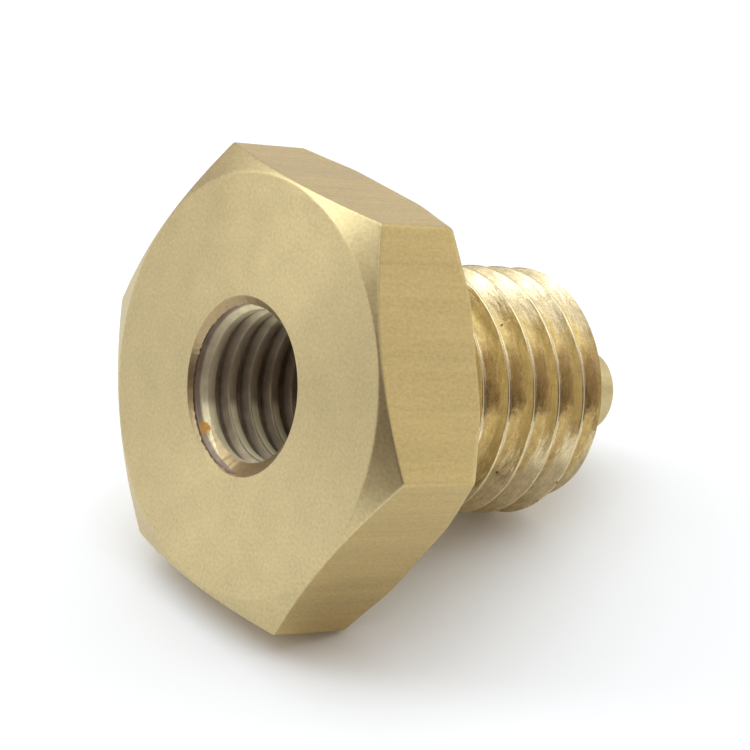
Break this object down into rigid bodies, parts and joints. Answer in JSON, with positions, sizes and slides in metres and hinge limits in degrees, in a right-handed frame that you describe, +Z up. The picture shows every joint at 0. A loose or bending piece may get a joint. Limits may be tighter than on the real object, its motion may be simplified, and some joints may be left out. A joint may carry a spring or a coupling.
{
  "type": "hexagon bushing",
  "caption": "Turned hexagon bushing with a tapped blind hole in its head, a threaded shank behind it and a plain round nose.",
  "frame": {"origin": "on the surface it lies on, under the middle of the part's box", "axes": "+Z up; the bushing lies on its side with its tapped face towards -Y and a little up, and its shank and nose towards +Y and a little down"},
  "size_m": [0.0358, 0.0388, 0.0321],
  "materials": {
    "brass": "satin turned and milled"
  },
  "bodies": {
    "root": {"hex_bushing": "brass"}
  },
  "joints": []
}
